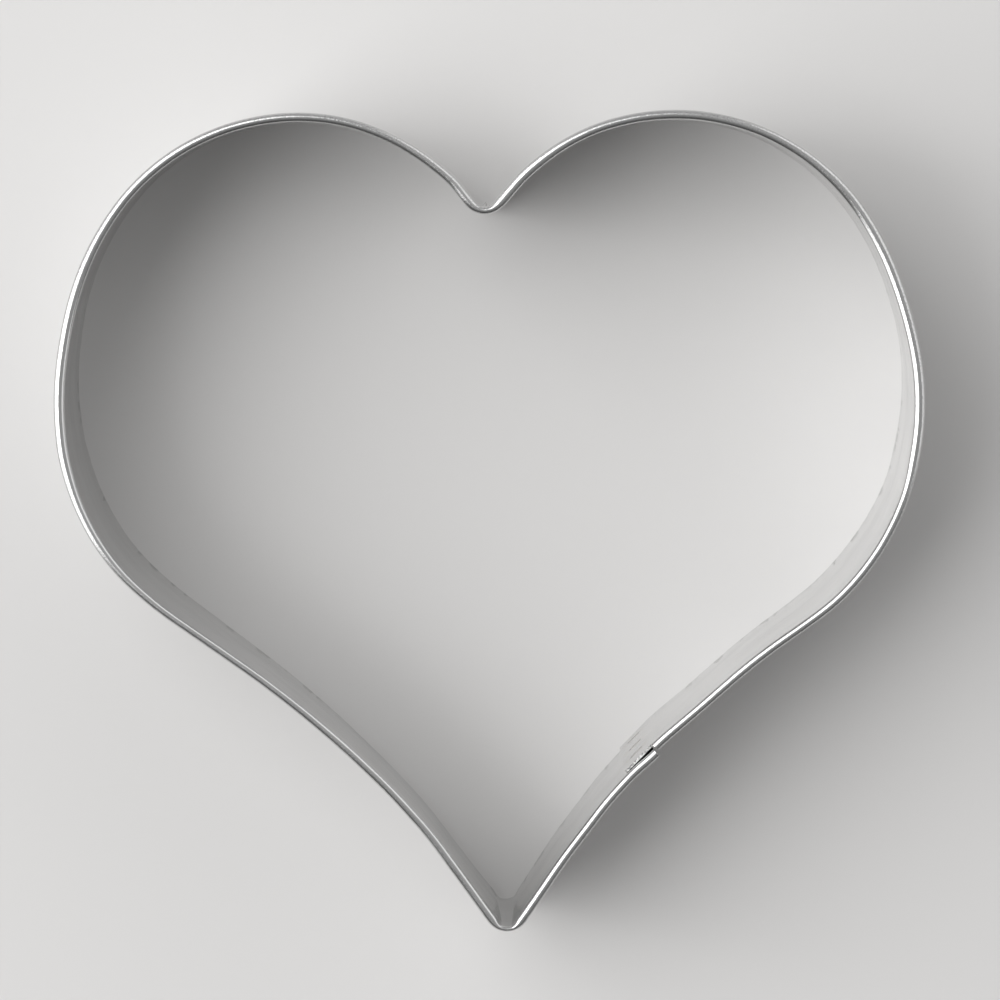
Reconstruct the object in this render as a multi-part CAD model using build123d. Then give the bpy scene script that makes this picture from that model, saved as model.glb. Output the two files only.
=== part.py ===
"""Heart-shaped cutter for dough: one bent steel strip with a hemmed rim, closed by a spot-welded lap.

Millimetres, +Z up. The cutting edge stands on Z = 0 and the hemmed rim is on top. The origin is the centre of
the heart's outline, on the plane of the cutting edge. +X is the heart's right, and +Y runs from tip to lobes.
The outline is travelled anticlockwise, so the inside of the heart is always on the left hand.
"""
import os
from math import asin, atan2, cos, radians, sin, sqrt

from build123d import *

# Overall size, over the outside of the rim
heart_width = 100.0
heart_length = 95.0
cutter_height = 25.0

# Sheet, and the hem that is folded outwards round the top
sheet_thickness = 0.3
rim_width = 1.1
hem_depth = 2.6
hem_foot_gap = 0.08

# Rounded corners of the outline, on the outside of the rim
tip_radius = 2.75
notch_radius = 1.35

# Lap on the right flank: a tab without a hem, at one end of the strip, lies inside the other end
lap_length = 4.4
lap_clearance = 0.06
hem_end_gap = 0.2
tab_drop = 0.7
tab_corner_radius = 0.75

# Spot welds through both layers of the lap, evenly spaced up the wall below the hem
weld_diameter = 2.0
weld_dent = 0.04
weld_names = ["bottom_spot_weld", "middle_spot_weld", "top_spot_weld"]

# Places on the outline, as shares of the heart's width and length from its centre. Where there is a third
# number, it is the direction of travel there, in degrees from +X, before the square is stretched to the heart.
tip_across_share = 0.020
notch_across_share = -0.005
notch_floor_share = 0.382
lap_share = (0.1785, -0.2944, 47.5)
right_side_shares = [
    (0.221, -0.252, 42.1),
    (0.344, -0.145, 36.1),
    (0.415, -0.086, 47.8),
    (0.500, 0.142, 90.0),
    (0.468, 0.304, 110.3),
    (0.367, 0.448, 142.4),
    (0.215, 0.500, 180.0),
    (0.070, 0.454, 216.6),
]
right_lobe_end_share = (0.025, 0.412)
left_lobe_end_share = (-0.030, 0.407)
left_side_shares = [
    (-0.067, 0.442, 141.6),
    (-0.218, 0.496, 180.0),
    (-0.435, 0.378, 236.1),
    (-0.500, 0.143, 270.0),
    (-0.455, -0.027, 300.4),
    (-0.362, -0.124, 323.7),
    (-0.209, -0.243, 318.8),
    (-0.088, -0.366, 309.6),
]
left_flank_end_share = (-0.028, -0.450)
right_flank_start_share = (0.075, -0.436)
below_lap_share = (0.128, -0.360, 54.7)


def place(share):
    """Point of the outline that a pair of shares names."""
    return Vector(share[0] * heart_width, share[1] * heart_length)


def station(share):
    """Point of the outline and the direction of travel there."""
    turn = radians(share[2])
    ahead = Vector(cos(turn) * heart_width, sin(turn) * heart_length)
    return place(share), ahead.normalized()


def inward(ahead):
    """Direction into the heart from a direction of travel."""
    return Vector(-ahead.Y, ahead.X)


def bend(start, end):
    """Two tangent arcs from one station to the next."""
    (first, leaving), (last, arriving) = start, end
    chord = last - first
    along = chord.dot(leaving + arriving)
    square = chord.dot(chord)
    reach = square / (along + sqrt(along * along + 2 * square * (1 - leaving.dot(arriving))))
    middle = (first + last + (leaving - arriving) * reach) / 2
    first_arc = TangentArc(first, middle, tangent=leaving)
    second_arc = TangentArc(middle, last, tangent=first_arc % 1)
    return [first_arc, second_arc]


def tangent_station(point, centre, radius, side, leaving):
    """Where a straight run between a point and a corner's circle meets the circle, and the way it runs.

    side is 1 where the circle is on the left of the run and -1 where it is on the right.
    """
    gap = point - centre if leaving else centre - point
    lean = side * asin(radius / gap.length)
    heading = atan2(gap.Y, gap.X) + (lean if leaving else -lean)
    ahead = Vector(cos(heading), sin(heading))
    return centre - inward(ahead) * radius * side, ahead


def corner(before, centre, radius, side, after):
    """Straight run, round corner and straight run from one point to another, with the ends' stations."""
    enter, entering = tangent_station(before, centre, radius, side, False)
    leave, leaving = tangent_station(after, centre, radius, side, True)
    round_part = TangentArc(enter, leave, tangent=entering)
    edges = [Line(before, enter), round_part, Line(leave, after)]
    return (before, entering), edges, (after, leaving)


def chain(stations):
    """Tangent arcs through a row of stations."""
    edges = []
    for start, end in zip(stations[:-1], stations[1:]):
        edges += bend(start, end)
    return edges


def lap_stations():
    """Start of the hem above the tab, and both ends of the straight outer layer of the lap."""
    middle, ahead = station(lap_share)
    hem_start = middle + ahead * lap_length / 2
    outward_step = inward(ahead) * (sheet_thickness + lap_clearance)
    outer_start = middle - ahead * lap_length / 2 - outward_step
    outer_end = hem_start - ahead * hem_end_gap - outward_step
    return (hem_start, ahead), (outer_start, ahead), (outer_end, ahead)


def rim_path():
    """Line of the rim's outside, from the hem's start above the tab round to the other end of the strip."""
    hem_start, outer_start, outer_end = lap_stations()
    notch_centre = Vector(notch_across_share * heart_width, notch_floor_share * heart_length + notch_radius)
    tip_centre = Vector(tip_across_share * heart_width, tip_radius - heart_length / 2)
    into_notch, notch, out_of_notch = corner(
        place(right_lobe_end_share), notch_centre, notch_radius, -1, place(left_lobe_end_share)
    )
    into_tip, tip, out_of_tip = corner(
        place(left_flank_end_share), tip_centre, tip_radius, 1, place(right_flank_start_share)
    )
    right_side = [station(share) for share in right_side_shares]
    left_side = [station(share) for share in left_side_shares]
    edges = chain([hem_start, *right_side, into_notch])
    edges += notch
    edges += chain([out_of_notch, *left_side, into_tip])
    edges += tip
    edges += chain([out_of_tip, station(below_lap_share), outer_start])
    edges.append(Line(outer_start[0], outer_end[0]))
    return Wire([part.edge() for part in edges])


def across_strip(point, ahead):
    """Plane square to the strip: local X goes into the heart from the rim's outside, and local Y goes up."""
    return Plane(origin=point, x_dir=inward(ahead), z_dir=ahead)


def hem_line():
    """Middle of the sheet across the strip: up the wall, over the fold and down the leg that leans on the wall."""
    wall_middle = rim_width - sheet_thickness / 2
    fold_centre = Vector(rim_width / 2, cutter_height - rim_width / 2)
    fold_radius = (rim_width - sheet_thickness) / 2
    foot = Vector(wall_middle - sheet_thickness - hem_foot_gap, cutter_height - hem_depth)
    fold_start = Vector(wall_middle, fold_centre.Y)
    fold_end, _ = tangent_station(foot, fold_centre, fold_radius, 1, True)
    wall = Line((wall_middle, 0), fold_start)
    fold = TangentArc(fold_start, fold_end, tangent=wall % 1)
    leg = Line(fold_end, foot)
    return [wall, fold, leg]


def hemmed_section():
    """Section of the strip: the line of the hem, given the sheet's thickness."""
    return trace(hem_line(), sheet_thickness).face()


def lap_plane():
    """Plane of the tab's inner face: local X runs back to the tab's end, and local Y goes up."""
    (point, ahead), _, _ = lap_stations()
    return Plane(origin=point + inward(ahead) * rim_width, x_dir=-ahead, z_dir=inward(ahead))


def lap_tab():
    """Single sheet, without a hem, that reaches on past the hem's start inside the other layer."""
    top = cutter_height - tab_drop
    outline = Pos(lap_length / 2, top / 2) * Rectangle(lap_length, top)
    end_corner = outline.vertices().sort_by(Axis.Y)[-2:].sort_by(Axis.X)[-1]
    outline = fillet(end_corner, tab_corner_radius)
    return extrude(lap_plane() * outline, -sheet_thickness)


def weld_place(number):
    """Middle of a spot weld on the tab's inner face, with its axis outwards."""
    spacing = (cutter_height - hem_depth) / len(weld_names)
    return lap_plane() * Pos(lap_length / 2, (number + 1 / 2) * spacing)


def weld_disc(number, dent):
    """Disc through both layers of the lap, short of each outer face by the dent."""
    depth = 2 * sheet_thickness + lap_clearance
    disc = Pos(0, 0, -dent) * Circle(weld_diameter / 2)
    return weld_place(number) * extrude(disc, -(depth - 2 * dent))


def cutter_band():
    """The whole strip: hemmed wall, tab, and holes where the welds' metal lies."""
    path = rim_path()
    band = sweep(across_strip(path @ 0, path % 0) * hemmed_section(), path=path)
    band += lap_tab()
    for number in range(len(weld_names)):
        band -= weld_disc(number, 0)
    return band


os.makedirs("parts", exist_ok=True)
export_step(cutter_band(), "parts/cutter_band.step")
for number, name in enumerate(weld_names):
    export_step(weld_disc(number, weld_dent), f"parts/{name}.step")
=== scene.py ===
"""Looks of the heart-shaped dough cutter: the bent strip with its hem and lap, the welds, and the studio.

Metres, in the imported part's own frame. The strip is drawn as the middle of its sheet and then thickened.
Its outline is travelled anticlockwise, so the inside of the heart is always on the left hand. Distances
travelled are measured from the hem's start, above the lap's tab.
"""
from math import asin, atan2, ceil, cos, pi, radians, sin, sqrt

import bmesh
import bpy
from mathutils import Matrix, Vector, noise


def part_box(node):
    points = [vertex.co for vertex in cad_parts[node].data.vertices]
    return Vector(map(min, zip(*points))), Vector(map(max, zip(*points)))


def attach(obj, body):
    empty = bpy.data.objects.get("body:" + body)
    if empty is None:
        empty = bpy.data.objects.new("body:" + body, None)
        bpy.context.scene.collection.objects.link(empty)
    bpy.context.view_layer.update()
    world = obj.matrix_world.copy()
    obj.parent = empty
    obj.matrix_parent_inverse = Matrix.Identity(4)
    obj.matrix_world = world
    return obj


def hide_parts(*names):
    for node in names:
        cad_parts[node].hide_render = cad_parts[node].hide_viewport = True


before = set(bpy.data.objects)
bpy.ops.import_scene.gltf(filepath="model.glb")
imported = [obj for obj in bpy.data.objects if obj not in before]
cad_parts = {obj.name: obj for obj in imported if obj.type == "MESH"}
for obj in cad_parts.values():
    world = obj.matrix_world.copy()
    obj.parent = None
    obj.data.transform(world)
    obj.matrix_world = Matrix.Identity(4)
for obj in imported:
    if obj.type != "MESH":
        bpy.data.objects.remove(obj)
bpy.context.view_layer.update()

mm = 0.001
up = Vector((0, 0, 1))

# Overall size, from the frame
band_low, band_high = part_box("cutter_band")
heart_width = band_high.x - band_low.x
heart_length = band_high.y - band_low.y
cutter_height = band_high.z - band_low.z

# Sheet, hem and rounded corners of the outline
sheet_thickness = 0.3 * mm
rim_width = 1.1 * mm
hem_depth = 2.6 * mm
hem_foot_gap = 0.08 * mm
tip_radius = 2.75 * mm
notch_radius = 1.35 * mm
edge_rounding = 0.03 * mm

# Lap on the right flank
lap_length = 4.4 * mm
lap_clearance = 0.06 * mm
hem_end_gap = 0.2 * mm
tab_drop = 0.7 * mm
tab_corner_radius = 0.75 * mm

# Spot welds through the lap
weld_names = ["bottom_spot_weld", "middle_spot_weld", "top_spot_weld"]
weld_radius = 1.0 * mm
weld_dent = 0.03 * mm
weld_ridge = 0.012 * mm
weld_groove = 0.02 * mm
weld_facets = 72

# Face of a weld's button from its middle outwards, as shares of its radius and of its ridge's height
weld_face_shares = [(0, 0), (0.50, 0), (0.66, 0.3), (0.80, 0.8), (0.90, 1), (0.97, 0.9)]

# Places on the outline, as shares of the heart's width and length from its centre. Where there is a third
# number, it is the direction of travel there, in degrees from +X, on the square before it is stretched.
tip_across_share = 0.020
notch_across_share = -0.005
notch_floor_share = 0.382
lap_share = (0.1785, -0.2944, 47.5)
right_side_shares = [
    (0.221, -0.252, 42.1),
    (0.344, -0.145, 36.1),
    (0.415, -0.086, 47.8),
    (0.500, 0.142, 90.0),
    (0.468, 0.304, 110.3),
    (0.367, 0.448, 142.4),
    (0.215, 0.500, 180.0),
    (0.070, 0.454, 216.6),
]
right_lobe_end_share = (0.025, 0.412)
left_lobe_end_share = (-0.030, 0.407)
left_side_shares = [
    (-0.067, 0.442, 141.6),
    (-0.218, 0.496, 180.0),
    (-0.435, 0.378, 236.1),
    (-0.500, 0.143, 270.0),
    (-0.455, -0.027, 300.4),
    (-0.362, -0.124, 323.7),
    (-0.209, -0.243, 318.8),
    (-0.088, -0.366, 309.6),
]
left_flank_end_share = (-0.028, -0.450)
right_flank_start_share = (0.075, -0.436)
below_lap_share = (0.128, -0.360, 54.7)

# How far the wall's foot stands inside its top, at distances travelled
wall_leans = [
    (0 * mm, 0.0 * mm),
    (9 * mm, -0.12 * mm),
    (19 * mm, 0.02 * mm),
    (31 * mm, 0.50 * mm),
    (42 * mm, 0.05 * mm),
    (50 * mm, -0.30 * mm),
    (63 * mm, -0.85 * mm),
    (72 * mm, -0.65 * mm),
    (86 * mm, -0.20 * mm),
    (110 * mm, 0.0 * mm),
    (150 * mm, -0.10 * mm),
    (175 * mm, -0.48 * mm),
    (190 * mm, -0.70 * mm),
    (199 * mm, -0.40 * mm),
    (214 * mm, 0.30 * mm),
    (226 * mm, 0.25 * mm),
    (242 * mm, -0.38 * mm),
    (260 * mm, -0.80 * mm),
    (275 * mm, -0.80 * mm),
    (290 * mm, -0.06 * mm),
    (299 * mm, 0.0 * mm),
]
lean_easing = 4 * mm

# Small waves of the wall, which die out towards the lap and below the hem
wall_wave = 0.02 * mm
wall_wave_length = 14 * mm
wall_wave_end = (290 * mm, 300 * mm)
wall_wave_height_share = 0.7

# How far the rim's outside stands inside the outline, and how wide the rim is, at distances travelled: the
# hem is opened a little round the lobes' outer sides and pressed closer along the flanks. Both tables end
# as they start, so that the lap's layers stay parallel, and the welds take their place from the first rows.
rim_insets = [
    (0 * mm, -0.03 * mm),
    (43 * mm, -0.03 * mm),
    (48 * mm, 0.0 * mm),
    (57 * mm, 0.0 * mm),
    (62 * mm, 0.03 * mm),
    (78 * mm, 0.05 * mm),
    (88 * mm, 0.22 * mm),
    (96 * mm, 0.24 * mm),
    (113 * mm, 0.18 * mm),
    (119 * mm, 0.11 * mm),
    (127 * mm, 0.03 * mm),
    (130 * mm, 0.13 * mm),
    (150 * mm, 0.16 * mm),
    (173 * mm, 0.15 * mm),
    (194 * mm, 0.12 * mm),
    (199 * mm, 0.02 * mm),
    (204 * mm, 0.01 * mm),
    (207 * mm, -0.09 * mm),
    (213 * mm, -0.05 * mm),
    (229 * mm, -0.02 * mm),
    (243 * mm, 0.06 * mm),
    (259 * mm, 0.03 * mm),
    (274 * mm, 0.05 * mm),
    (284 * mm, 0.12 * mm),
    (291 * mm, -0.03 * mm),
    (304 * mm, -0.03 * mm),
]
rim_widths = [
    (0 * mm, 1.09 * mm),
    (6 * mm, 1.05 * mm),
    (43 * mm, 1.05 * mm),
    (46 * mm, 1.24 * mm),
    (79 * mm, 1.24 * mm),
    (88 * mm, 1.12 * mm),
    (113 * mm, 1.10 * mm),
    (120 * mm, 1.18 * mm),
    (127 * mm, 1.18 * mm),
    (130 * mm, 1.05 * mm),
    (173 * mm, 1.08 * mm),
    (188 * mm, 1.22 * mm),
    (209 * mm, 1.25 * mm),
    (213 * mm, 1.14 * mm),
    (219 * mm, 1.10 * mm),
    (229 * mm, 0.98 * mm),
    (243 * mm, 1.00 * mm),
    (259 * mm, 1.05 * mm),
    (274 * mm, 1.12 * mm),
    (286 * mm, 1.09 * mm),
]
rim_easing = 1.2 * mm
rim_wave = 0.025 * mm
rim_wave_length = 7 * mm
rim_noise_row = 3

# The hem is squeezed where the strip is bent sharply, and its foot is crumpled in the notch
tip_rim_width = 0.64 * mm
tip_squeeze = (0.7 * mm, 2.5 * mm)
notch_rim_width = 0.92 * mm
notch_squeeze = (0.3 * mm, 1.9 * mm)
crumple = 0.85 * mm
crumple_length = 0.5 * mm
crumple_reach = 0.9 * mm
hem_foot_wave = 0.05 * mm
hem_foot_wave_length = 6 * mm
hem_foot_noise_row = 5

# The strip's last stretch springs away from the tab at the top, and the hem's ends are cut back below
flare = 0.24 * mm
flare_reach = 4.0 * mm
flare_height_share = 0.86
hem_cutback = 0.25 * mm
end_cutback = 0.10 * mm
cutback_reach = 2.0 * mm

# Room left to the box of the exact shape
top_room = 0.003 * mm
foot_room = 0.004 * mm

# Burr that the shears leave along the cutting edge. It grows where the surface faces the heart by more than
# the share of burr_facing.
burr = 0.1 * mm
burr_height = 0.025 * mm
burr_pitch = 0.9 * mm
burr_facing = 0.02
burr_noise_row = 9

# Least gap between the hem's leg and the wall
leg_clearance = 0.02 * mm

# Fineness of the strip's mesh
ring_pitch = 0.35 * mm
ring_turn = radians(5)
easing_passes = 10
corner_passes = 3
corner_reach = 4 * mm
wall_rows = 6
fold_rows = 22
leg_rows = 3
tab_corner_steps = 6
edge_steps = 2
sheared_angle = radians(50)
crease_angle = radians(15)
straight_angle = radians(0.01)
merge_reach = 0.001 * mm

# Spans of noise that the finishes use
soft_noise = (0.3, 0.7)
sharp_noise = (0.35, 0.65)
# The next span places the painted shade in the grain of the bend
shade_speck_noise = (0.50, 0.66)
shear_noise = (0.40, 0.62)

# Finish of the rolled sheet. A pitch is given along the strip and up it.
line_pitch = (9 * mm, 0.35 * mm)
smudge_pitch = (14 * mm, 7 * mm)
grain_pitch = (0.20 * mm, 0.13 * mm)
clean_sheet = (0.66, 0.66, 0.655, 1)
smudged_sheet = (0.62, 0.62, 0.62, 1)
# Dark specks on the outside of the bend are painted shade of its grain, not a colour of the steel
shade_speck_colour = (0.28, 0.28, 0.28, 1)
shade_speck_cover = 0.5
sheet_roughness = (0.11, 0.17)
line_roughness = (-0.02, 0.04)
bend_roughness = 0.06
line_relief = 0.5
grain_relief = 3
sheet_bump = 0.004 * mm

# Heat tint round the welds, as places on a ramp that ends at the tint's reach
tint_reach = 3 * mm
tint_ring = (0.36, (0.92, 0.92, 0.94, 1))
tint_straw = (0.50, (0.98, 0.95, 0.90, 1))
tint_none = (0.72, (1, 1, 1, 1))

# Finish of the sheared edges. Their pale specks are painted glints of light on the rough cut, among darker
# specks.
shear_scale = 5000
shear_glint_colour = (0.96, 0.96, 0.95, 1)
shear_dark = (0.24, 0.24, 0.24, 1)
shear_roughness = (0.45, 0.7)
shear_bump = 0.02 * mm

# Finish of the weld metal, as places on a ramp from the middle of a button's face to its rim
grit_scale = 3000
button_span = (0.3 * mm, 1.1 * mm)
button_middle = (0, (0.58, 0.575, 0.56, 1))
button_ring = (0.55, (0.61, 0.60, 0.575, 1))
button_rim = (1, (0.44, 0.43, 0.43, 1))
button_roughness = (0.24, 0.42)
button_bump = 0.01 * mm

# Studio and camera
floor_half_side = 4
floor_colour = (0.66, 0.652, 0.645, 1)
floor_roughness = 0.7
surroundings = (0.09, 0.52)
brightest_way = Vector((0.142, 0.807, 0.574))
lens_length = 188.66
sensor_width = 36
camera_place = (1.23 * mm, 42.83 * mm, 625 * mm)
camera_tilt = radians(-3.835)


# Outline, drawn as the line of the rim's outside
def place(share):
    """Point of the outline that a pair of shares names."""
    return Vector((share[0] * heart_width, share[1] * heart_length, 0))


def station(share):
    """Point of the outline and the direction of travel there."""
    turn = radians(share[2])
    ahead = Vector((cos(turn) * heart_width, sin(turn) * heart_length, 0))
    return place(share), ahead.normalized()


def inward(ahead):
    """Direction into the heart from a direction of travel."""
    return Vector((-ahead.y, ahead.x, 0))


def turn_to(ahead, chord):
    """Angle through which an arc turns that leaves along one direction and ends at the chord's end."""
    return 2 * atan2(inward(ahead).dot(chord), ahead.dot(chord))


def turned(ahead, angle):
    """Direction turned to the left by an angle."""
    return Matrix.Rotation(angle, 3, "Z") @ ahead


def bend(start, end):
    """Two tangent arcs from one station to the next, each as its start, direction and end."""
    (first, leaving), (last, arriving) = start, end
    chord = last - first
    along = chord.dot(leaving + arriving)
    square = chord.dot(chord)
    reach = square / (along + sqrt(along * along + 2 * square * (1 - leaving.dot(arriving))))
    middle = (first + last + (leaving - arriving) * reach) / 2
    passing = turned(leaving, turn_to(leaving, middle - first))
    return [(first, leaving, middle), (middle, passing, last)]


def tangent_station(point, centre, radius, side, leaving):
    """Where a straight run between a point and a corner's circle meets the circle, and the way it runs.

    side is 1 where the circle is on the left of the run and -1 where it is on the right.
    """
    gap = point - centre if leaving else centre - point
    lean = side * asin(radius / gap.length)
    ahead = turned(gap.normalized(), lean if leaving else -lean)
    return centre - inward(ahead) * radius * side, ahead


def corner(before, centre, radius, side, after):
    """Straight run, round corner and straight run from one point to another, with the ends' stations."""
    enter, entering = tangent_station(before, centre, radius, side, False)
    leave, leaving = tangent_station(after, centre, radius, side, True)
    runs = [(before, entering, enter), (enter, entering, leave), (leave, leaving, after)]
    return (before, entering), runs, (after, leaving)


def chain(stations):
    """Tangent arcs through a row of stations."""
    runs = []
    for start, end in zip(stations[:-1], stations[1:]):
        runs += bend(start, end)
    return runs


def lap_stations():
    """Start of the hem above the tab, and both ends of the straight outer layer of the lap."""
    middle, ahead = station(lap_share)
    hem_start = middle + ahead * lap_length / 2
    outward_step = inward(ahead) * (sheet_thickness + lap_clearance)
    outer_start = middle - ahead * lap_length / 2 - outward_step
    outer_end = hem_start - ahead * hem_end_gap - outward_step
    return (hem_start, ahead), (outer_start, ahead), (outer_end, ahead)


def corner_centres():
    """Centres of the notch's and the tip's round corners."""
    notch = place((notch_across_share, notch_floor_share)) + Vector((0, notch_radius, 0))
    tip = place((tip_across_share, -1 / 2)) + Vector((0, tip_radius, 0))
    return notch, tip


def rim_runs():
    """Arcs and straight runs of the rim's outside, from the hem's start round to the strip's other end."""
    hem_start, outer_start, outer_end = lap_stations()
    notch_centre, tip_centre = corner_centres()
    into_notch, notch, out_of_notch = corner(
        place(right_lobe_end_share), notch_centre, notch_radius, -1, place(left_lobe_end_share)
    )
    into_tip, tip, out_of_tip = corner(
        place(left_flank_end_share), tip_centre, tip_radius, 1, place(right_flank_start_share)
    )
    right_side = [station(share) for share in right_side_shares]
    left_side = [station(share) for share in left_side_shares]
    runs = chain([hem_start, *right_side, into_notch])
    runs += notch
    runs += chain([out_of_notch, *left_side, into_tip])
    runs += tip
    runs += chain([out_of_tip, station(below_lap_share), outer_start])
    runs.append((*outer_start, outer_end[0]))
    return runs


def split(geometry, kind):
    """Items of one kind out of a mixed list."""
    return [item for item in geometry if isinstance(item, kind)]


def draw_run(bm, tip, run):
    """Draws one arc or straight run as a chain of vertices, and gives them in order."""
    start, ahead, end = run
    chord = end - start
    angle = turn_to(ahead, chord)
    straight = abs(angle) < straight_angle
    length = chord.length if straight else chord.length * (angle / 2) / sin(angle / 2)
    steps = max(1, ceil(length / ring_pitch), ceil(abs(angle) / ring_turn))
    row = []
    for _ in range(steps):
        if straight:
            tip = bmesh.ops.extrude_vert_indiv(bm, verts=[tip])["verts"][0]
            bmesh.ops.translate(bm, verts=[tip], vec=chord / steps)
        else:
            centre = start + inward(ahead) * chord.length / (2 * sin(angle / 2))
            made = bmesh.ops.spin(
                bm, geom=[tip], cent=centre, axis=up, dvec=(0, 0, 0),
                angle=angle / steps, steps=1, use_duplicate=False,
            )
            tip = split(made["geom_last"], bmesh.types.BMVert)[0]
        row.append(tip)
    return row


def rim_line():
    """Points of the rim's outside at a fine pitch, eased where arcs of different radius meet."""
    bm = bmesh.new()
    runs = rim_runs()
    row = bmesh.ops.create_vert(bm, co=runs[0][0])["vert"]
    for run in runs:
        row += draw_run(bm, row[-1], run)
    corners = corner_centres()
    gentle = [v for v in row[1:-1] if all((v.co - c).length > corner_reach for c in corners)]
    for step in range(easing_passes):
        moving = row[1:-1] if step < corner_passes else gentle
        bmesh.ops.smooth_vert(bm, verts=moving, factor=0.5, use_axis_x=True, use_axis_y=True)
    points = [vert.co.copy() for vert in row]
    bm.free()
    return points


def headings(points):
    """Direction of travel at each point of a line."""
    before = [points[0]] + points[:-1]
    after = points[1:] + [points[-1]]
    return [(b - a).normalized() for a, b in zip(before, after)]


def distances(points):
    """Distance travelled at each point of a line."""
    done = [0]
    for a, b in zip(points[:-1], points[1:]):
        done.append(done[-1] + (b - a).length)
    return done


# Strip
def extend(bm, tip, step, rows, girth):
    """Grows a line of edges from a vertex by equal steps, and notes each vertex's way over the sheet."""
    for _ in range(rows):
        far = bmesh.ops.extrude_vert_indiv(bm, verts=[tip])["verts"][0]
        far.co = tip.co + step / rows
        far[girth] = tip[girth] + step.length / rows
        tip = far
    return tip


def hem_profile(bm, girth):
    """Middle of the sheet across the strip, in X inward and Z up: wall, fold and leaning leg."""
    wall_middle = rim_width - sheet_thickness / 2
    fold_centre = Vector((rim_width / 2, 0, cutter_height - top_room - rim_width / 2))
    fold_radius = (rim_width - sheet_thickness) / 2
    tab_top = cutter_height - tab_drop
    foot = Vector((wall_middle - sheet_thickness - hem_foot_gap, 0, cutter_height - hem_depth))
    drop = foot - fold_centre
    fold_turn = pi - asin(fold_radius / drop.length) + atan2(drop.x, -drop.z)
    tip = bmesh.ops.create_vert(bm, co=(wall_middle, 0, foot_room))["vert"][0]
    tip = extend(bm, tip, up * (tab_top - foot_room), wall_rows, girth)
    tip = extend(bm, tip, up * (fold_centre.z - tab_top), 1, girth)
    for _ in range(fold_rows):
        before = tip
        made = bmesh.ops.spin(
            bm, geom=[before], cent=fold_centre, axis=(0, -1, 0), dvec=(0, 0, 0),
            angle=fold_turn / fold_rows, steps=1, use_duplicate=False,
        )
        tip = split(made["geom_last"], bmesh.types.BMVert)[0]
        tip[girth] = before[girth] + fold_radius * fold_turn / fold_rows
    extend(bm, tip, foot - tip.co, leg_rows, girth)


def stand(point, ahead):
    """Transform from the profile's own axes to a place on the rim's line."""
    axes = Matrix((inward(ahead), ahead, up)).transposed().to_4x4()
    return Matrix.Translation(point) @ axes


def add_tab(bm, profile, girth, travel):
    """Draws the wall's edges back past the hem's start, and rounds the tab's upper corner."""
    _, ahead = lap_stations()[0]
    tab_top = cutter_height - tab_drop
    wall = [edge for edge in profile if sum(v[girth] for v in edge.verts) / 2 < tab_top]
    made = bmesh.ops.extrude_edge_only(bm, edges=wall)["geom"]
    tab_end = split(made, bmesh.types.BMVert)
    bmesh.ops.translate(bm, verts=tab_end, vec=-ahead * lap_length)
    for vert in tab_end:
        vert[travel] = -lap_length
    top_corner = max(tab_end, key=lambda v: v.co.z)
    bmesh.ops.bevel(
        bm, geom=[top_corner], offset=tab_corner_radius, offset_type="OFFSET", affect="VERTICES",
        segments=tab_corner_steps, profile=0.5, material=-1, clamp_overlap=True,
    )


def sweep(bm, profile, line, travel):
    """Draws the profile along the rim's line, and gives the vertices that stand at each of its points."""
    ways = headings(line)
    far = distances(line)
    edges = profile
    rings = [list({v for edge in profile for v in edge.verts})]
    for number in range(1, len(line)):
        made = bmesh.ops.extrude_edge_only(bm, edges=edges)["geom"]
        edges = split(made, bmesh.types.BMEdge)
        ring = split(made, bmesh.types.BMVert)
        move = stand(line[number], ways[number]) @ stand(line[number - 1], ways[number - 1]).inverted()
        bmesh.ops.transform(bm, matrix=move, verts=ring)
        for vert in ring:
            vert[travel] = far[number]
        rings.append(ring)
    return rings


def ramp(value, low, high):
    """Smooth rise from 0 to 1 between two values."""
    share = min(max((value - low) / (high - low), 0), 1)
    return share * share * (3 - 2 * share)


def level(table, distance):
    """Value of a table at a distance, on a straight line between its rows."""
    for (low, start), (high, end) in zip(table[:-1], table[1:]):
        if distance < high:
            return start + (end - start) * max(distance - low, 0) / (high - low)
    return table[-1][1]


def eased(table, distance, reach):
    """Value of a table at a distance, with its corners rounded over a reach."""
    offsets = [reach * step / 3 for step in range(-3, 4)]
    return sum(level(table, distance + offset) for offset in offsets) / len(offsets)


def uneven(along, row):
    """Noise between about -1 and 1, at a place along one of its rows."""
    return noise.noise(Vector((along, row, 0)))


def waviness(distance, height):
    """Small unevenness of the wall, none at the lap and the hem."""
    wall_top = cutter_height - hem_depth
    clear_of_lap = ramp(distance, 0, wall_wave_length) * (1 - ramp(distance, *wall_wave_end))
    clear_of_hem = 1 - ramp(height, wall_top * wall_wave_height_share, wall_top)
    wave = uneven(distance / wall_wave_length, height / wall_wave_length)
    return wave * wall_wave * clear_of_lap * clear_of_hem


def rim_form(point, distance, bottoms):
    """Inset and width of the rim at a place on the outline, and how near it is to the notch's bottom."""
    notch, tip = bottoms
    in_notch = 1 - ramp((point - notch).length, *notch_squeeze)
    in_tip = 1 - ramp((point - tip).length, *tip_squeeze)
    inset = eased(rim_insets, distance, rim_easing)
    inset += rim_wave * abs(uneven(distance / rim_wave_length, rim_noise_row))
    width = eased(rim_widths, distance, rim_easing)
    width += (notch_rim_width - width) * in_notch
    width += (tip_rim_width - width) * in_tip
    return inset, width, in_notch


def notch_crumple(point, notch_bottom):
    """Depth of the folds that the bend presses into the hem's foot, at a place on the outline."""
    beside = point.x - notch_bottom.x
    near = 1 - ramp(abs(beside), 0, crumple_reach)
    wave = 0.5 + 0.5 * cos(2 * pi * beside / crumple_length)
    return crumple * near * wave


def hem_shift(distance, total):
    """How far the cuts at the hem's ends move its folded leg along the strip."""
    from_start = 1 - min(distance / cutback_reach, 1)
    from_end = 1 - min((total - distance) / cutback_reach, 1)
    return hem_cutback * from_start - end_cutback * from_end


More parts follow.
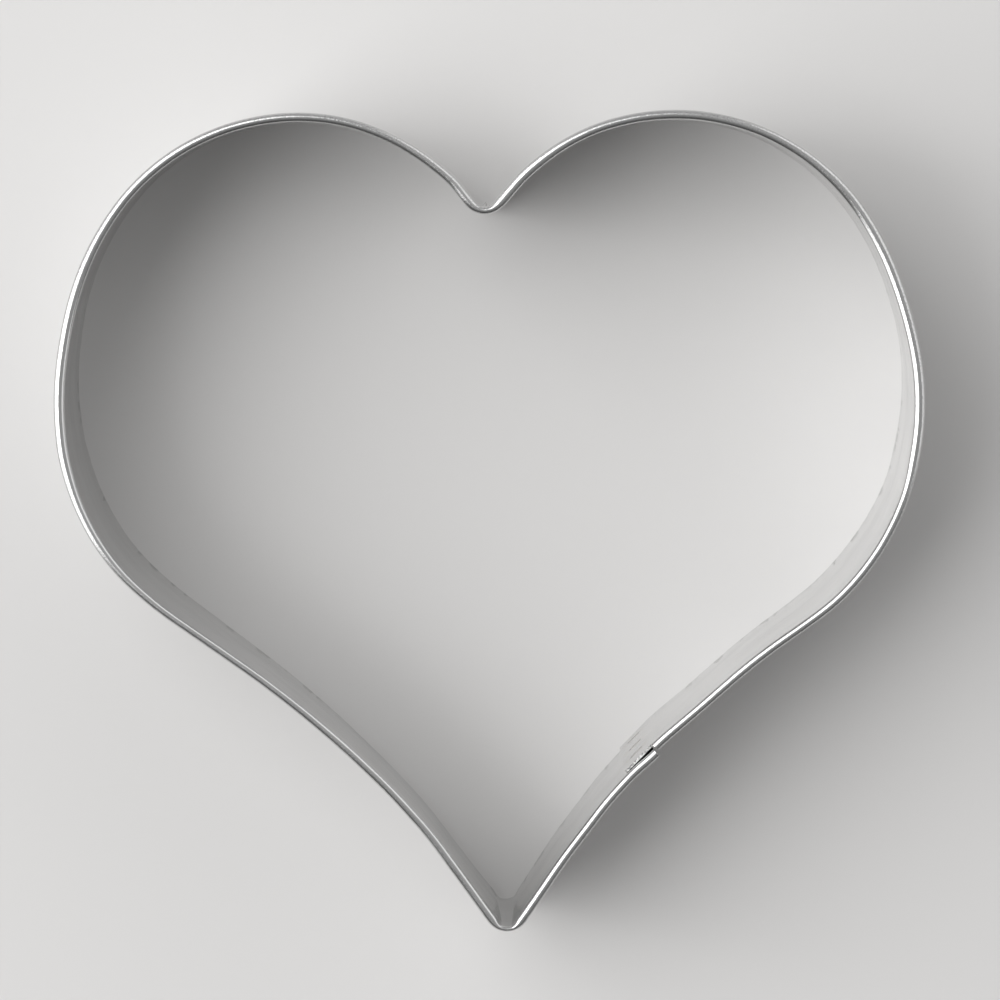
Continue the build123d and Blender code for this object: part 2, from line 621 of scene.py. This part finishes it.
def settle_ring(ring, point, ahead, distance, total, bottoms, girth, into_heart):
    """Gives one ring of the strip its rim width, lean, unevenness and end shapes."""
    side = inward(ahead)
    inset, width, in_notch = rim_form(point, distance, bottoms)
    half = sheet_thickness / 2
    stretch = (width - sheet_thickness) / (rim_width - sheet_thickness)
    leg_limit = inset + width - 3 * half - leg_clearance
    wall_top = cutter_height - hem_depth
    fold_top = cutter_height - rim_width / 2
    fold_length = (rim_width - sheet_thickness) / 2 * pi
    folds = notch_crumple(point, bottoms[0]) * in_notch
    foot_wave = hem_foot_wave * uneven(distance / hem_foot_wave_length, hem_foot_noise_row)
    flaring = flare * (1 - ramp(total - distance, 0, flare_reach))
    lean = eased(wall_leans, distance, lean_easing)
    shift = hem_shift(distance, total)
    for vert in ring:
        vert[into_heart] = side
        height = vert.co.z
        across = (vert.co - point).dot(side)
        over = vert[girth] - fold_top
        new = half + inset + (across - half) * stretch
        if over > 0 and height < fold_top:
            droop = ramp(fold_top - height, 0, hem_depth)
            new = min(new, leg_limit) - folds * droop
            vert.co.z += foot_wave * droop
        new += lean * max(0, 1 - height / wall_top) + waviness(distance, height)
        new -= flaring * ramp(height, wall_top * flare_height_share, wall_top)
        folded = min(max(over / fold_length, 0), 1)
        vert.co += side * (new - across) + ahead * shift * folded


def lay_uv(bm, travel, girth):
    """UV map in metres: along the strip, and up the wall and over the hem."""
    uv = bm.loops.layers.uv.new("sheet")
    for face in bm.faces:
        for loop in face.loops:
            loop[uv].uv = (loop.vert[travel], loop.vert[girth])


def strip_mesh():
    """Middle surface of the whole strip, with its tab."""
    line = rim_line()
    ways = headings(line)
    far = distances(line)
    bm = bmesh.new()
    girth = bm.verts.layers.float.new("girth")
    travel = bm.verts.layers.float.new("travel")
    into_heart = bm.verts.layers.float_vector.new("into_heart")
    hem_profile(bm, girth)
    bmesh.ops.transform(bm, matrix=stand(line[0], ways[0]), verts=bm.verts)
    profile = list(bm.edges)
    rings = sweep(bm, profile, line, travel)
    notch_centre, tip_centre = corner_centres()
    bottoms = (notch_centre - Vector((0, notch_radius, 0)), tip_centre - Vector((0, tip_radius, 0)))
    for ring, point, ahead, distance in zip(rings, line, ways, far):
        settle_ring(ring, point, ahead, distance, far[-1], bottoms, girth, into_heart)
    add_tab(bm, profile, girth, travel)
    lay_uv(bm, travel, girth)
    bmesh.ops.recalc_face_normals(bm, faces=bm.faces)
    mesh = bpy.data.meshes.new("bent_strip")
    bm.to_mesh(mesh)
    bm.free()
    return mesh


def spun_solid(name, profile, place_matrix):
    """Closed solid from a profile of radius and height, spun about its axis and put in its place."""
    bm = bmesh.new()
    tip = bmesh.ops.create_vert(bm, co=(profile[0][0], 0, profile[0][1]))["vert"][0]
    for radius, height in profile[1:]:
        tip = bmesh.ops.extrude_vert_indiv(bm, verts=[tip])["verts"][0]
        tip.co = (radius, 0, height)
    bmesh.ops.spin(
        bm, geom=list(bm.verts) + list(bm.edges), cent=(0, 0, 0), axis=up, dvec=(0, 0, 0),
        angle=2 * pi, steps=weld_facets, use_merge=True, use_duplicate=False,
    )
    bmesh.ops.remove_doubles(bm, verts=bm.verts, dist=merge_reach)
    bmesh.ops.recalc_face_normals(bm, faces=bm.faces)
    bmesh.ops.transform(bm, matrix=place_matrix, verts=bm.verts)
    mesh = bpy.data.meshes.new(name)
    bm.to_mesh(mesh)
    bm.free()
    return mesh


def weld_matrix(number):
    """Place of a weld on the tab's inner face, with Z into the heart."""
    (point, ahead), _, _ = lap_stations()
    spacing = (cutter_height - hem_depth) / len(weld_names)
    height = (number + 1 / 2) * spacing
    wall_face = rim_insets[0][1] + rim_widths[0][1]
    middle = point - ahead * lap_length / 2 + inward(ahead) * wall_face + up * height
    axes = Matrix((-ahead, up, inward(ahead))).transposed().to_4x4()
    return Matrix.Translation(middle) @ axes


def weld_middle(number):
    """Middle of a weld, halfway through the lap."""
    return weld_matrix(number) @ Vector((0, 0, -sheet_thickness - lap_clearance / 2))


def both_sides(profile, depth):
    """Profile of one face of a weld, and its mirror image on the other face of the lap."""
    return profile + [(radius, -depth - height) for radius, height in reversed(profile)]


def weld_profile():
    """Dented face with its low ridge, and the side of a weld's button."""
    depth = 2 * sheet_thickness + lap_clearance
    face = [(weld_radius * out, weld_ridge * rise - weld_dent) for out, rise in weld_face_shares]
    return both_sides(face + [(weld_radius, -weld_groove)], depth)


def hole_profile():
    """Straight hole through both layers of the lap, and past their faces."""
    depth = 2 * sheet_thickness + lap_clearance
    return both_sides([(0, weld_radius), (weld_radius, weld_radius)], depth)


def baked(piece):
    """Swaps a piece's mesh for the mesh that its modifiers make."""
    graph = bpy.context.evaluated_depsgraph_get()
    mesh = bpy.data.meshes.new_from_object(piece.evaluated_get(graph), depsgraph=graph)
    old = piece.data
    piece.modifiers.clear()
    piece.data = mesh
    bpy.data.meshes.remove(old)


def holes_mesh():
    """The three straight holes of the welds, as one mesh."""
    bm = bmesh.new()
    for number in range(len(weld_names)):
        one = spun_solid("hole", hole_profile(), weld_matrix(number))
        bm.from_mesh(one)
        bpy.data.meshes.remove(one)
    mesh = bpy.data.meshes.new("holes")
    bm.to_mesh(mesh)
    bm.free()
    return mesh


def cut_holes(piece):
    """Cuts the welds' holes through both layers of the lap."""
    mesh = holes_mesh()
    tool = bpy.data.objects.new("holes", mesh)
    bpy.context.scene.collection.objects.link(tool)
    cut = piece.modifiers.new("holes", "BOOLEAN")
    cut.operation = "DIFFERENCE"
    cut.solver = "EXACT"
    cut.object = tool
    baked(piece)
    bpy.data.objects.remove(tool)
    bpy.data.meshes.remove(mesh)


def add_piece(name, mesh, materials, node):
    """Object of a finished mesh that stands for a CAD node."""
    piece = bpy.data.objects.new(name, mesh)
    bpy.context.scene.collection.objects.link(piece)
    for material in materials:
        mesh.materials.append(material)
    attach(piece, "root")
    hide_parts(node)
    return piece


def turn_burr(piece):
    """Levels the cutting edge on the floor, and turns its burr a little into the heart."""
    ways = piece.data.attributes["into_heart"].data
    travels = piece.data.attributes["travel"].data
    for vert, way, travel in zip(piece.data.vertices, ways, travels):
        vert.co.z = max(vert.co.z, 0)
        if vert.co.z < burr_height and vert.normal.dot(way.vector) > burr_facing:
            raggedness = abs(uneven(travel.value / burr_pitch, burr_noise_row))
            vert.co += way.vector * burr * raggedness * (1 - vert.co.z / burr_height)


def finish_shading(piece):
    """Smooth shading with creases at the sharp corners."""
    piece.data.shade_smooth()
    piece.data.set_sharp_from_angle(angle=crease_angle)


def add_strip(materials):
    """The strip, thickened from the middle of its sheet, with its sheared edges eased."""
    piece = add_piece("bent_strip", strip_mesh(), materials, "cutter_band")
    thicken = piece.modifiers.new("sheet", "SOLIDIFY")
    thicken.thickness = sheet_thickness
    thicken.offset = 0
    thicken.use_even_offset = True
    thicken.use_quality_normals = True
    thicken.material_offset_rim = 1
    ease = piece.modifiers.new("eased_edges", "BEVEL")
    ease.width = edge_rounding
    ease.segments = edge_steps
    ease.limit_method = "ANGLE"
    ease.angle_limit = sheared_angle
    baked(piece)
    turn_burr(piece)
    cut_holes(piece)
    finish_shading(piece)


def add_welds(materials):
    """The three buttons of weld metal in the lap."""
    for number, name in enumerate(weld_names):
        mesh = spun_solid(name + "_button", weld_profile(), weld_matrix(number))
        piece = add_piece(name + "_button", mesh, materials, name)
        finish_shading(piece)


# Materials
def add_node(tree, kind, inputs=None, **settings):
    """Adds a shader node, sets it up, and fills its inputs with numbers or links."""
    made = tree.nodes.new("ShaderNode" + kind)
    for key, value in settings.items():
        setattr(made, key, value)
    for key, value in (inputs or {}).items():
        if isinstance(value, bpy.types.NodeSocket):
            tree.links.new(value, made.inputs[key])
        else:
            made.inputs[key].default_value = value
    return made


def new_material(name):
    """Material with its node tree and its shader."""
    material = bpy.data.materials.new(name)
    material.use_nodes = True
    tree = material.node_tree
    return material, tree, tree.nodes["Principled BSDF"]


def pattern(tree, coordinates, pitch, detail):
    """Noise on the sheet's own map, with a pitch along the strip and a pitch up it."""
    scale = (1 / pitch[0], 1 / pitch[1], 1)
    scaled = add_node(tree, "Mapping", {"Vector": coordinates, "Scale": scale})
    made = add_node(
        tree, "TexNoise",
        {"Vector": scaled.outputs["Vector"], "Scale": 1, "Detail": detail, "Roughness": 0.6},
        noise_dimensions="2D",
    )
    return made.outputs["Fac"]


def speckle(tree, scale, detail):
    """Noise in space, on the piece's own coordinates."""
    place_here = add_node(tree, "TexCoord").outputs["Object"]
    inputs = {"Vector": place_here, "Scale": scale, "Detail": detail}
    return add_node(tree, "TexNoise", inputs).outputs["Fac"]


def remap(tree, value, span, new_span):
    """Value brought from one span to another."""
    ends = {"From Min": span[0], "From Max": span[1], "To Min": new_span[0], "To Max": new_span[1]}
    return add_node(tree, "MapRange", {"Value": value, **ends}).outputs["Result"]


def reckon(tree, operation, first, second):
    """Sum, product or other reckoning of two values."""
    return add_node(tree, "Math", {0: first, 1: second}, operation=operation).outputs["Value"]


def blend_colours(tree, share, first, second, kind="MIX"):
    """Mix of two colours, or one colour tinted by another."""
    made = add_node(tree, "Mix", data_type="RGBA", blend_type=kind)
    ends = [socket for socket in made.inputs if socket.type == "RGBA"]
    factor = [socket for socket in made.inputs if socket.type == "VALUE"][0]
    for socket, value in zip([factor, *ends], [share, first, second]):
        if isinstance(value, bpy.types.NodeSocket):
            tree.links.new(value, socket)
        else:
            socket.default_value = value
    return [socket for socket in made.outputs if socket.type == "RGBA"][0]


def weld_distance(tree):
    """Distance from the nearest weld's middle."""
    place_here = add_node(tree, "TexCoord").outputs["Object"]
    nearest = None
    for number in range(len(weld_names)):
        ends = {0: place_here, 1: weld_middle(number)}
        gap = add_node(tree, "VectorMath", ends, operation="DISTANCE").outputs["Value"]
        nearest = gap if nearest is None else reckon(tree, "MINIMUM", nearest, gap)
    return nearest


def colour_rings(tree, span, first, middle, last):
    """Colours that change with the distance from the nearest weld, each with its place on the ramp."""
    share = remap(tree, weld_distance(tree), span, (0, 1))
    rings = add_node(tree, "ValToRGB", {"Fac": share})
    stops = rings.color_ramp.elements
    for stop, (position, colour) in zip(stops, [first, last]):
        stop.position = position
        stop.color = colour
    stops.new(middle[0]).color = middle[1]
    return rings.outputs["Color"]


def heat_tint(tree, base):
    """Straw and blue rings that welding leaves round each button."""
    rings = colour_rings(tree, (0, tint_reach), tint_ring, tint_straw, tint_none)
    return blend_colours(tree, 1.0, base, rings, "MULTIPLY")


def finish_metal(tree, shader, tone, rough, relief, bump_height):
    """Bare metal from its colour, roughness and relief."""
    bump = add_node(tree, "Bump", {"Height": relief, "Strength": 1, "Distance": bump_height})
    tree.links.new(tone, shader.inputs["Base Color"])
    tree.links.new(rough, shader.inputs["Roughness"])
    tree.links.new(bump.outputs["Normal"], shader.inputs["Normal"])
    shader.inputs["Metallic"].default_value = 1


def rolled_sheet():
    """Bright cold-rolled steel: fine lines along the strip, smudges, and a grainy bend with painted shade
    in its grain.
    """
    material, tree, shader = new_material("bright_rolled_stainless")
    sheet = add_node(tree, "UVMap", uv_map="sheet").outputs["UV"]
    lines = pattern(tree, sheet, line_pitch, detail=6)
    smudges = pattern(tree, sheet, smudge_pitch, detail=3)
    grain = pattern(tree, sheet, grain_pitch, detail=2)
    over = add_node(tree, "SeparateXYZ", {"Vector": sheet}).outputs["Y"]
    whole_bend = (cutter_height - rim_width, cutter_height + rim_width * 0.4)
    outer_bend = (cutter_height - rim_width * 0.2, cutter_height + rim_width * 0.3)
    bend_share = remap(tree, over, whole_bend, (0, 1))
    outer_share = remap(tree, over, outer_bend, (0, 1))
    tone = blend_colours(tree, remap(tree, smudges, soft_noise, (0, 1)), clean_sheet, smudged_sheet)
    # Painted shade: dark specks where the grain is high on the outside of the bend
    shade_specks = reckon(tree, "MULTIPLY", outer_share, remap(tree, grain, shade_speck_noise, (0, shade_speck_cover)))
    tone = blend_colours(tree, shade_specks, tone, shade_speck_colour)
    rough = remap(tree, smudges, soft_noise, sheet_roughness)
    rough = reckon(tree, "ADD", rough, remap(tree, lines, sharp_noise, line_roughness))
    rough = reckon(tree, "ADD", rough, reckon(tree, "MULTIPLY", bend_share, bend_roughness))
    grain_height = reckon(tree, "MULTIPLY", grain, reckon(tree, "MULTIPLY", bend_share, grain_relief))
    relief = reckon(tree, "ADD", reckon(tree, "MULTIPLY", lines, line_relief), grain_height)
    finish_metal(tree, shader, heat_tint(tree, tone), rough, relief, sheet_bump)
    return material


def sheared_edge():
    """Cut faces of the sheet: paler and rougher, with the marks of the shears; the pale specks are painted
    glints.
    """
    material, tree, shader = new_material("sheared_stainless_edge")
    shear_marks_and_glints = speckle(tree, shear_scale, detail=3)
    # Pale specks painted as glints of light on the cut, mixed with darker specks
    tone = blend_colours(tree, remap(tree, shear_marks_and_glints, shear_noise, (0, 1)), shear_glint_colour, shear_dark)
    rough = remap(tree, shear_marks_and_glints, sharp_noise, shear_roughness)
    finish_metal(tree, shader, tone, rough, shear_marks_and_glints, shear_bump)
    return material


def weld_button():
    """Weld metal: duller than the sheet, with a pale ring, a darker rim and a gritty face."""
    material, tree, shader = new_material("dull_weld_metal")
    grit = speckle(tree, grit_scale, detail=4)
    tone = colour_rings(tree, button_span, button_middle, button_ring, button_rim)
    rough = remap(tree, grit, soft_noise, button_roughness)
    finish_metal(tree, shader, tone, rough, grit, button_bump)
    return material


# Studio
def add_floor():
    """Pale floor that the cutter stands on."""
    bm = bmesh.new()
    bmesh.ops.create_grid(bm, x_segments=1, y_segments=1, size=floor_half_side)
    mesh = bpy.data.meshes.new("floor")
    bm.to_mesh(mesh)
    bm.free()
    floor = bpy.data.objects.new("floor", mesh)
    bpy.context.scene.collection.objects.link(floor)
    material, _, shader = new_material("pale_floor")
    shader.inputs["Base Color"].default_value = floor_colour
    shader.inputs["Roughness"].default_value = floor_roughness
    mesh.materials.append(material)


def add_panel(name, azimuth, place_there, facing_there, size, radiance):
    """Rectangular soft light, at and towards places that are a distance outwards and a height.

    The azimuth is in degrees anticlockwise from +X.
    """
    lamp = bpy.data.lights.new(name, "AREA")
    lamp.shape = "RECTANGLE"
    lamp.size, lamp.size_y = size
    lamp.energy = radiance * pi * lamp.size * lamp.size_y
    panel = bpy.data.objects.new(name, lamp)
    bpy.context.scene.collection.objects.link(panel)
    outwards = Matrix.Rotation(radians(azimuth), 3, "Z") @ Vector((1, 0, 0))
    there = outwards * place_there[0] + up * place_there[1]
    target = outwards * facing_there[0] + up * facing_there[1]
    panel.location = there
    panel.rotation_mode = "QUATERNION"
    panel.rotation_quaternion = (there - target).to_track_quat("Z", "Y")
    panel.visible_camera = False


def add_world():
    """Grey surroundings that grow lighter towards one side."""
    world = bpy.data.worlds.new("studio")
    world.use_nodes = True
    tree = world.node_tree
    way = add_node(tree, "TexCoord").outputs["Generated"]
    ways = {0: way, 1: brightest_way.normalized()}
    facing = add_node(tree, "VectorMath", ways, operation="DOT_PRODUCT")
    brightness = remap(tree, facing.outputs["Value"], (-0.5, 1), surroundings)
    tree.links.new(brightness, tree.nodes["Background"].inputs["Color"])
    bpy.context.scene.world = world


def add_camera():
    """Camera high above the cutter, a little towards its lobes, looking slightly towards its tip."""
    lens = bpy.data.cameras.new("camera")
    lens.lens = lens_length
    lens.sensor_width = sensor_width
    camera = bpy.data.objects.new("camera", lens)
    bpy.context.scene.collection.objects.link(camera)
    camera.location = camera_place
    camera.rotation_euler = (camera_tilt, 0, 0)
    bpy.context.scene.camera = camera


add_strip([rolled_sheet(), sheared_edge()])
add_welds([weld_button()])
add_floor()
add_panel(
    "tall_window", azimuth=189, place_there=(1.2, 1.55), facing_there=(0, 1.55),
    size=(1.12, 3.0), radiance=2.3,
)
add_panel(
    "top_window", azimuth=150, place_there=(0.85, 0.94), facing_there=(0, 0),
    size=(1.1, 1.45), radiance=2.2,
)
add_panel(
    "side_card", azimuth=25, place_there=(1.1, 0.42), facing_there=(0, 0),
    size=(1.9, 0.9), radiance=0.7,
)
add_world()
add_camera()
bpy.context.scene.view_settings.view_transform = "Standard"
